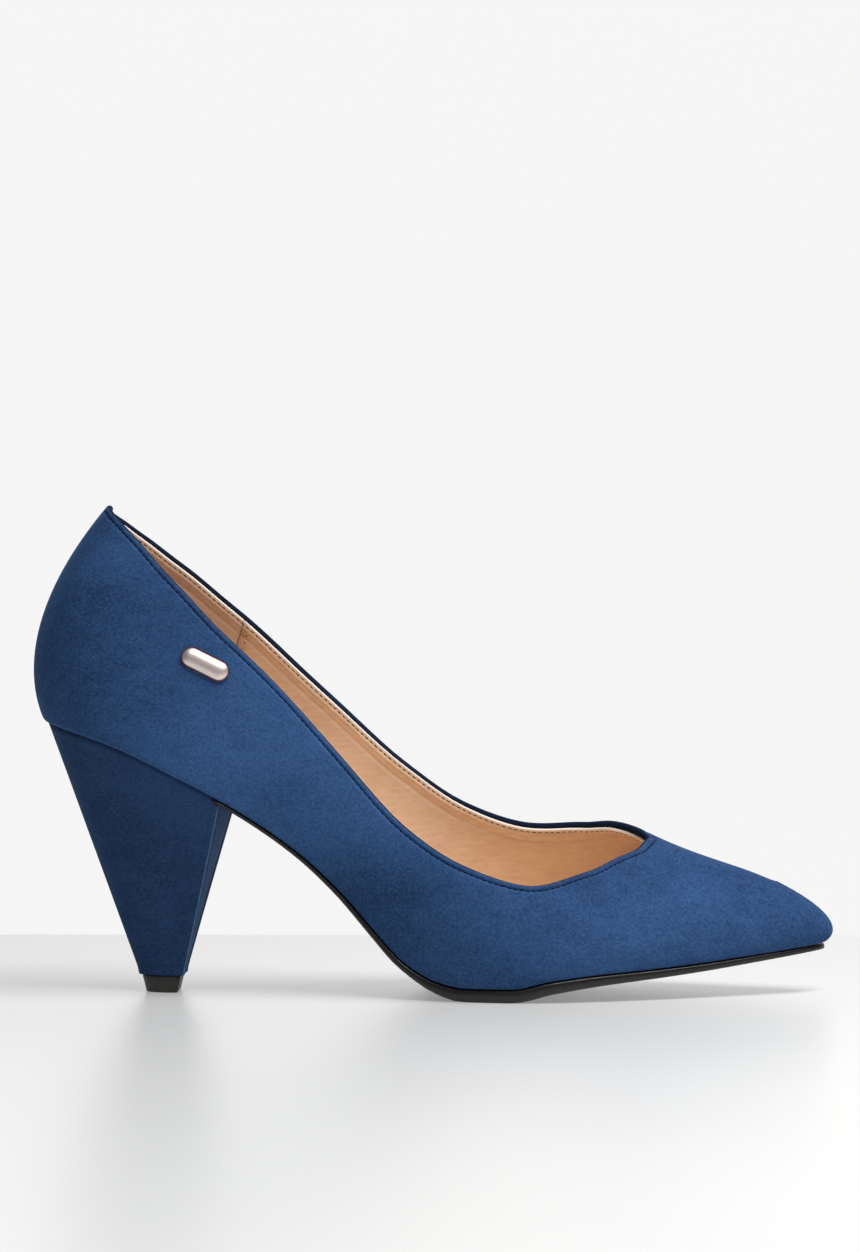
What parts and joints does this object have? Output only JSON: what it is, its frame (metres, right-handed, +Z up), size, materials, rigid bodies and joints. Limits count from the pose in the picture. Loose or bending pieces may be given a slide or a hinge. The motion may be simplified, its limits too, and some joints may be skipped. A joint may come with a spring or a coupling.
{
  "type": "high heel pump",
  "caption": "Pointed-toe suede court shoe with a low-cut V throat and a covered cone heel, shown as a right shoe.",
  "frame": {"origin": "on the floor, under the middle of the shoe's bounding box", "axes": "+Z up, +X towards the toe, -Y towards the outer (lateral) side of the right foot"},
  "size_m": [0.2394, 0.0744, 0.1462],
  "materials": {
    "suede": "navy faux suede, soft brushed nap",
    "lining": "tan synthetic leather, satin",
    "grip": "tan suede-like lining, matt",
    "sole": "black, satin edge",
    "top_piece": "black hard rubber, matt",
    "board": "cellulose board",
    "stiffener": "impregnated stiffener sheet",
    "tape": "woven cotton tape",
    "foam": "open foam",
    "filler": "bonded cork",
    "heel_core": "moulded ABS",
    "steel": "bright steel",
    "badge_metal": "polished pale rose gold plate"
  },
  "bodies": {
    "root": {"upper": "suede", "topline_tape": "tape", "vamp_lining": "lining", "heel_grip_lining": "grip", "heel_counter": "stiffener", "toe_puff": "stiffener", "interlining_outer": "tape", "interlining_inner": "tape", "outsole": "sole", "bottom_filler": "filler", "insole_board": "board", "shank_board": "board", "steel_shank": "steel", "shank_rivet_rear": "steel", "shank_rivet_front": "steel", "forefoot_cushion": "foam", "heel_cushion": "foam", "sock_lining": "lining", "heel_block": "heel_core", "heel_cover": "suede", "heel_breast_cover": "suede", "top_piece": "top_piece", "top_piece_dowel": "steel", "heel_screw": "steel", "heel_nail_1": "steel", "heel_nail_2": "steel", "heel_nail_3": "steel", "heel_nail_4": "steel", "badge": "badge_metal", "badge_washer_1": "steel", "badge_washer_2": "steel"}
  },
  "joints": []
}
